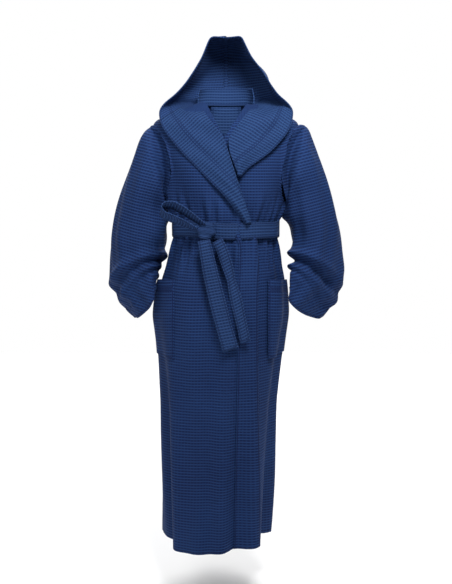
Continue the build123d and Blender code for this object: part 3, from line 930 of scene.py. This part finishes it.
@dataclass
class Belt:
    """The tied belt: the stretch round the waist, the knot, one bow loop and two ends."""

    form: BodyForm
    finishes: Finishes
    width: float = 0.046
    height: float = -0.352
    grow: float = 0.0085
    knot: tuple[float, float, float] = (-0.054, -0.236, -0.352)

    def waist(self) -> bpy.types.Object:
        """The stretch round the waist."""
        turn = np.linspace(0, 2 * math.pi, 180, endpoint=False)
        share = np.linspace(-0.5, 0.5, 9)
        sag = 0.0025 * np.sin(2 * turn + 0.4) + 0.0015 * np.sin(5 * turn)
        z = self.height + self.width * share[:, None] * -1 + sag[None, :]
        run = np.interp(-z, -self.form.table[:, 0], self.form.run)
        _, cx, cy, a, b = self.form.ring(np.full_like(z, self.form.run_at(self.height)))
        out = self.grow + 0.0012 * np.sin(11 * turn)[None, :] + 0.0014 * (1 - (2 * share[:, None]) ** 2)
        flare = 0.0012 * np.abs(2 * share[:, None]) ** 3
        points = np.stack([cx + (a + out + flare) * np.cos(turn), cy + (b + out + flare) * np.sin(turn),
                           z + 0 * run], axis=-1)
        hem = (0.5 - np.abs(share))[:, None] * self.width + 0 * z
        piece = Cloth("belt_waist_cloth", points, None, hem, closed=True, thickness=0.004).build(self.finishes.belt)
        declare(piece, (0.046, 0.95), ["belt_waist"])
        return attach(piece, "robe")

    def tied_knot(self) -> bpy.types.Object:
        """The knot, cloth wound once over the belt and pulled down."""
        lat = np.linspace(-0.499 * math.pi, 0.499 * math.pi, 40)[:, None]
        lon = np.linspace(0, 2 * math.pi, 64, endpoint=False)[None, :]
        power = lambda v, p: np.sign(v) * np.abs(v) ** p
        x = power(np.cos(lat), 0.55) * power(np.cos(lon), 0.6)
        y = power(np.cos(lat), 0.7) * power(np.sin(lon), 0.8)
        z = power(np.sin(lat), 0.55) + 0 * lon
        slant = z * 0.9 + x * 0.55
        wound = 1 + 0.07 * np.cos(slant * 7.5) - 0.10 * bump(slant, 0.55, 0.10) - 0.08 * bump(slant, -0.62, 0.09)
        waist = 1 - 0.16 * bump(z, 1.0, 0.5) - 0.12 * bump(z, -1.0, 0.5)
        kx, ky, kz = self.knot
        wide, tall = 0.0240 * x * wound * waist, 0.0225 * z * wound
        points = np.stack([kx + wide * 0.94 - tall * 0.34, ky + 0.0150 * y * wound, kz + tall * 0.94 + wide * 0.34],
                          axis=-1)
        uv = np.stack([0.08 * lon / 6.28 * 1.0 + 0 * z + 0.02 * z, 0.05 * slant], axis=-1)
        piece = Cloth("belt_knot_cloth", points, uv, None, closed=True, thickness=0.003).build(self.finishes.belt)
        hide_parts("belt_knot")
        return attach(piece, "robe")

    def ribbon(self, name: str, line: Array, across: Array, width: Array, curl: Array, thickness: float) -> Cloth:
        """A strip of cloth along a line.

        Args:
            name: the piece's name.
            line: points down its middle.
            across: unit vectors from its first edge to its last.
            width: its width at each point.
            curl: how far its middle stands out from its edges.
            thickness: of the doubled cloth.

        Returns:
            The shaped cloth.
        """
        share = np.linspace(-0.5, 0.5, 11)
        points = line[:, None, :] + across[:, None, :] * (share[None, :, None] * width[:, None, None])
        along = np.gradient(line, axis=0)
        normal = np.cross(across, along)
        normal /= np.maximum(np.linalg.norm(normal, axis=1, keepdims=True), 1e-9)
        points += normal[:, None, :] * ((1 - (2 * share) ** 2)[None, :, None] * curl[:, None, None])
        hem = np.minimum((0.5 - np.abs(share))[None, :] * width[:, None] + 0 * points[..., 0],
                         (lengths(line[:, None, :])[-1, 0] - lengths(line[:, None, :])[:, 0])[:, None])
        return Cloth(name, points, None, hem, thickness=thickness)

    def end(self, name: str, body: str, line: list, widths: list, twist: list, length: float) -> bpy.types.Object:
        """One hanging end of the belt."""
        middle = through([mm(*p) for p in line], 60, 4)
        share = np.linspace(0, 1, 60)
        width = np.interp(share, np.linspace(0, 1, len(widths)), widths) / 1000
        angle = np.radians(np.interp(share, np.linspace(0, 1, len(twist)), twist))
        along = np.gradient(middle, axis=0)
        along /= np.linalg.norm(along, axis=1, keepdims=True)
        front = np.array([0, -1.0, 0])
        level = np.cross(along, front)
        level /= np.linalg.norm(level, axis=1, keepdims=True)
        face = np.cross(level, along)
        across = level * np.cos(angle)[:, None] + face * np.sin(angle)[:, None]
        curl = 0.0022 * np.sin(9 * share) + 0.001
        piece = self.ribbon(name, middle, across, smooth_along(width, 8), curl, 0.0034).build(self.finishes.belt)
        declare(piece, (0.046, length), [body])
        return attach(piece, body)

    def bow(self) -> bpy.types.Object:
        """The one bow loop, out to the wearer's right and back to the knot."""
        line = [(-56, -244, -340), (-85, -247, -318), (-115, -249, -297), (-142, -249, -283), (-165, -247, -283),
                (-176, -244, -294), (-168, -241, -308), (-140, -239, -319), (-108, -239, -332), (-78, -241, -347)]
        middle = through([mm(*p) for p in line], 90, 3)
        share = np.linspace(0, 1, 90)
        flare = smoothstep(share, 0.0, 0.28) * (1 - smoothstep(share, 0.72, 1.0))
        width = 0.026 + 0.018 * flare
        turning = smoothstep(share, 0.42, 0.62)
        up = np.stack([0.15 + 0 * share, -0.84 + 0.1 * turning, 0.52 - 0.08 * turning], axis=1)
        up /= np.linalg.norm(up, axis=1, keepdims=True)
        piece = self.ribbon("belt_bow_cloth", middle, up, width, 0.002 * flare, 0.003).build(self.finishes.belt)
        declare(piece, (0.046, 0.24), ["belt_bow"])
        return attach(piece, "belt_bow")

    def build(self) -> list[bpy.types.Object]:
        """Make the whole belt."""
        return [
            self.waist(),
            self.tied_knot(),
            self.bow(),
            self.end("belt_end_right_cloth", "belt_end_right",
                     [(-60, -250, -376), (-55, -254, -400), (-42, -259, -465), (-24, -265, -540), (-4, -271, -615),
                      (13, -275, -674)], [34, 40, 44, 45, 44, 46], [8, 4, -6, -4, 6, 3], 0.31),
            self.end("belt_end_left_cloth", "belt_end_left",
                     [(-24, -249, -376), (-10, -253, -402), (10, -258, -465), (28, -264, -540), (44, -269, -610),
                      (53, -272, -652)], [30, 34, 24, 34, 30, 30], [-6, -16, 30, -10, 4, -4], 0.29),
        ]


# ---------------------------------------------------------------- pockets and trim


@dataclass
class Pocket:
    """A patch pocket on the hip, open at the top."""

    side: Side
    form: BodyForm
    finishes: Finishes
    top: float = -0.492
    foot: float = -0.716

    def build(self) -> bpy.types.Object:
        """Make the pocket, sewn flat at three edges and standing off at its mouth."""
        right = self.side is Side.RIGHT
        rows, columns = 60, 44
        run = np.linspace(self.form.run_at(self.top), self.form.run_at(self.foot), rows)[:, None]
        front = self.form.angle_at(np.full((rows, 1), -0.137 if right else 0.112), run)
        rear = -math.pi - 0.02 if right else 0.02
        share = np.linspace(0, 1, columns)[None, :]
        angle = front + (rear - front) * share
        depth = run + 0.014 * (share if right else share) * (1 - smoothstep(run, run[0], run[-1])) - 0.004
        down = np.linspace(0, 1, rows)[:, None]
        sides = np.sin(math.pi * np.clip(share, 0.0, 1.0)) ** 0.6
        belly = 0.0045 + 0.0105 * sides * (1 - smoothstep(down, 0.05, 1.0)) + 0.0015 * sides
        points = self.form.point(angle, depth, belly)
        across = np.swapaxes(lengths(np.swapaxes(points, 0, 1)), 0, 1)
        along = lengths(points)
        side_hem = np.minimum(across, across[:, -1:] - across)
        mouth = np.abs(along - 0.028) + 0.003
        hem = np.minimum(np.minimum(side_hem, along[-1:] - along) + 0.002, mouth)
        cloth = Cloth(f"{self.side.name.lower()}_pocket_cloth", points, None, hem, thickness=0.0028)
        piece = cloth.build(self.finishes.body, outwards=not right)
        declare(piece, (0.17, 0.225), [f"{self.side.name.lower()}_pocket"])
        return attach(piece, "robe")


@dataclass
class Trim:
    """The small pieces: neck band, facing, seam tape, hanging loop, belt carriers and label."""

    form: BodyForm
    finishes: Finishes

    def neck_band(self) -> bpy.types.Object:
        """The strip that stands inside the back of the neck."""
        turn = np.linspace(-0.02 * math.pi, 1.02 * math.pi, 80)[None, :]
        share = np.linspace(0, 1, 16)[:, None]
        z = 0.048 - 0.052 * share - 0.007 * np.cos(turn) ** 6
        wide = 0.076 + 0.003 * np.sin(math.pi * share) + 0.004 * share
        points = np.stack([wide * np.cos(turn), -0.062 + 0.066 * np.sin(turn) + 0 * share, z + 0 * turn], axis=-1)
        hem = np.minimum(share, 1 - share) * 0.05 + 0.002 + 0 * turn
        cloth = Cloth("neck_band_cloth", points, None, hem, thickness=0.0028)
        piece = cloth.build(self.finishes.neck, outwards=False)
        declare(piece, (0.32, 0.05), ["neck_band"])
        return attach(piece, "robe")

    def facing(self) -> bpy.types.Object:
        """The half-moon facing inside the back of the neck."""
        turn = np.linspace(0, 1, 30)[None, :]
        share = np.linspace(0, 1, 24)[:, None]
        half = 0.044 * np.sqrt(np.clip(1 - (np.maximum(share - 0.45, 0) / 0.56) ** 2, 0.0, 1))
        x = half * (2 * turn - 1)
        z = -0.006 - 0.086 * share + 0 * turn
        run = np.interp(-z, -self.form.table[:, 0], self.form.run)
        _, cx, cy, a, b = self.form.ring(run)
        y = cy + (b - 0.0015) * np.sqrt(np.clip(1 - (x / a) ** 2, 0, 1))
        points = np.stack([x, y, z], axis=-1)
        hem = np.minimum(half - np.abs(x), (1 - share) * 0.09) + 0.001
        cloth = Cloth("back_neck_facing_cloth", points, None, hem, thickness=0.0016)
        piece = cloth.build(self.finishes.neck, outwards=True)
        declare(piece, (0.09, 0.09), ["back_neck_facing"])
        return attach(piece, "robe")

    def tape(self, name: str, line: Array, across: Array, width: float, finish: bpy.types.Material,
             thickness: float = 0.0015) -> bpy.types.Object:
        """A narrow tape along a line."""
        share = np.linspace(-0.5, 0.5, 5)
        points = line[:, None, :] + across[:, None, :] * (share[None, :, None] * width)
        return Cloth(name, points, None, None, thickness=thickness).build(finish)

    def seam_tape(self, hood: HoodAndCollar) -> bpy.types.Object:
        """The tape over the hood's middle seam, on the inside."""
        line = through(hood.sewn_line(Side.LEFT)[:8], 60, 5)
        line[:, 0] = 0
        along = np.gradient(line, axis=0)
        inward = np.cross(np.array([1.0, 0, 0]), along)
        inward /= np.linalg.norm(inward, axis=1, keepdims=True)
        line = line + inward * np.where((inward @ np.array([0, 1.0, 0.3]))[:, None] > 0, -0.0045, 0.0045)
        across = np.tile(np.array([1.0, 0, 0]), (60, 1))
        piece = self.tape("hood_seam_tape_cloth", line, across, 0.012, self.finishes.hood)
        declare(piece, (0.012, 0.29), ["hood_seam_tape"])
        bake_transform(piece)
        return piece

    def loop(self) -> bpy.types.Object:
        """The hanging loop at the back of the neck."""
        low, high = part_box("hanging_loop")
        centre, half = (low + high) / 2, (high - low) / 2
        turn = np.linspace(-0.5 * math.pi, 1.5 * math.pi, 60)
        line = np.stack([centre.x + (half.x - 0.003) * np.cos(turn), np.full(60, centre.y),
                         centre.z + (half.z - 0.003) * np.sin(turn)], axis=1)
        across = np.stack([0.2 * np.cos(turn), np.full(60, 1.0), 0.2 * np.sin(turn)], axis=1)
        across /= np.linalg.norm(across, axis=1, keepdims=True)
        piece = self.tape("hanging_loop_tape", line, across, 0.006, self.finishes.tape, 0.002)
        declare(piece, (0.01, 0.165), ["hanging_loop"])
        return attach(piece, "hanging_loop")

    def carrier(self, side: Side) -> bpy.types.Object:
        """A belt carrier at a side seam."""
        name = f"{side.name.lower()}_belt_carrier"
        low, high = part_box(name)
        mid_y = (low.y + high.y) / 2
        _, cx, _, half, _ = self.form.ring(np.array(self.form.run_at(Belt.height)))
        out = cx + side.value * (half + 0.0135)
        inner = cx + side.value * (half + 0.001)
        line = through([(inner, mid_y, -0.319), (out, mid_y, -0.326), (out, mid_y, -0.352),
                        (out, mid_y, -0.378), (inner, mid_y, -0.385)], 40, 4)
        across = np.tile(np.array([0.0, 1.0, 0]), (40, 1))
        piece = self.tape(f"{name}_tape", line, across, 0.008, self.finishes.tape)
        declare(piece, (0.01, 0.09), [name])
        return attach(piece, "robe")

    def label(self) -> bpy.types.Object:
        """The blank care label inside the left side seam."""
        low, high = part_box("care_label")
        z = np.linspace(high.z, low.z, 30)
        ripple = 0.002 * np.sin((z - low.z) * 60)
        line = np.stack([np.full(30, (low.x + high.x) / 2), (low.y + high.y) / 2 + ripple, z], axis=1)
        across = np.tile(np.array([1.0, 0.0, 0]), (30, 1))
        piece = self.tape("care_label_tape", line, across, high.x - low.x, self.finishes.label, 0.0008)
        declare(piece, (0.034, 0.062), ["care_label"])
        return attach(piece, "robe")


# ---------------------------------------------------------------- studio


@dataclass
class Studio:
    """Pale floor, soft lights and the camera at chest height."""

    eye: tuple[float, float, float] = (0.0, -2.44, -0.19)
    tilt: float = 8.5
    lens: float = 33.4
    floor_drop: float = 0.16
    floor_width: float = 7
    floor_depth: float = 6
    front_level: float = 0.18
    back_level: float = 1.0
    chest: tuple[float, float, float] = (0, 0.1, -0.25)

    def build(self, hem: float) -> None:
        """Set up the stage.

        Args:
            hem: height of the lowest point of the robe.
        """
        bpy.ops.mesh.primitive_plane_add(size=1.0, location=(0, 0, 0))
        floor = bpy.context.active_object
        floor.name = "pale_floor"
        floor.data.transform(Vector((0, 0, 0)).to_track_quat("Z", "Y").to_matrix().to_4x4())
        for vertex in floor.data.vertices:
            vertex.co = Vector((vertex.co.x * self.floor_width, vertex.co.y * self.floor_depth, hem - self.floor_drop))
        paper = bpy.data.materials.new("matt_paper_white")
        paper.use_nodes = True
        shader = paper.node_tree.nodes["Principled BSDF"]
        shader.inputs["Base Color"].default_value = linear("#f4f4f4")
        shader.inputs["Roughness"].default_value = 0.95
        floor.data.materials.append(paper)
        floor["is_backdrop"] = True
        world = bpy.data.worlds.new("studio")
        world.use_nodes = True
        tree = world.node_tree
        place = add_node(tree, "ShaderNodeTexCoord")
        split = add_node(tree, "ShaderNodeSeparateXYZ", Vector=place.outputs["Generated"])
        level = add_node(tree, "ShaderNodeMapRange", {"interpolation_type": "SMOOTHSTEP"},
                         Value=split.outputs["Y"], i1=0.1, i2=0.7, i3=self.front_level, i4=self.back_level)
        backdrop = tree.nodes["Background"]
        backdrop.inputs["Color"].default_value = (1, 1, 1, 1)
        tree.links.new(level.outputs["Result"], backdrop.inputs["Strength"])
        bpy.context.scene.world = world
        self.lamp("key", (0.30, -1.1, 0.95), 0.6, 29)
        self.lamp("fill", (-1.2, -1.3, 0.65), 0.9, 8)
        self.lamp("overhead", (0.0, 2.8, 2.4), 3.4, 200)
        camera = bpy.data.objects.new("camera", bpy.data.cameras.new("camera"))
        bpy.context.scene.collection.objects.link(camera)
        camera.data.sensor_fit = "VERTICAL"
        camera.data.sensor_height = 24
        camera.data.lens = self.lens
        camera.location = self.eye
        camera.rotation_euler = (math.radians(90 - self.tilt), 0, 0)
        bpy.context.scene.camera = camera
        bpy.context.scene.view_settings.view_transform = "Standard"

    def lamp(self, name: str, place: tuple[float, float, float], size: float, watts: float) -> None:
        """A soft square light aimed at the chest.

        Args:
            name: the light's name.
            place: where it stands.
            size: length of its sides.
            watts: its power.
        """
        light = bpy.data.lights.new(name, "AREA")
        light.energy = watts
        light.size = size
        lamp = bpy.data.objects.new(name, light)
        bpy.context.scene.collection.objects.link(lamp)
        lamp.location = place
        aim = Vector(self.chest) - Vector(place)
        lamp.rotation_euler = aim.to_track_quat("-Z", "Y").to_euler()


def main() -> None:
    """Build the robe around its frame, piece by piece."""
    logging.basicConfig(level=logging.INFO, format="%(name)s: %(message)s")
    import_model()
    cad_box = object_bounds()
    finishes = Finishes()
    form = BodyForm()
    hood = HoodAndCollar(form, finishes)
    trim = Trim(form, finishes)
    pieces = Panels(form, finishes).build()
    pieces += hood.build()
    pieces += Sleeve(Side.RIGHT, form, finishes).build()
    pieces += Sleeve(Side.LEFT, form, finishes, swing=1.45, lift=0.018, spread=0.009, gap=0.020).build()
    pieces += Belt(form, finishes).build()
    pieces += [Pocket(side, form, finishes).build() for side in Side]
    pieces += [trim.neck_band(), trim.facing(), trim.seam_tape(hood), trim.loop(), trim.label()]
    pieces += [trim.carrier(side) for side in Side]
    for piece in pieces:
        log.info("%s: %d faces", piece.name, len(piece.data.polygons))
    Studio().build(cad_box[0][2])


if __name__ == "__main__":
    main()
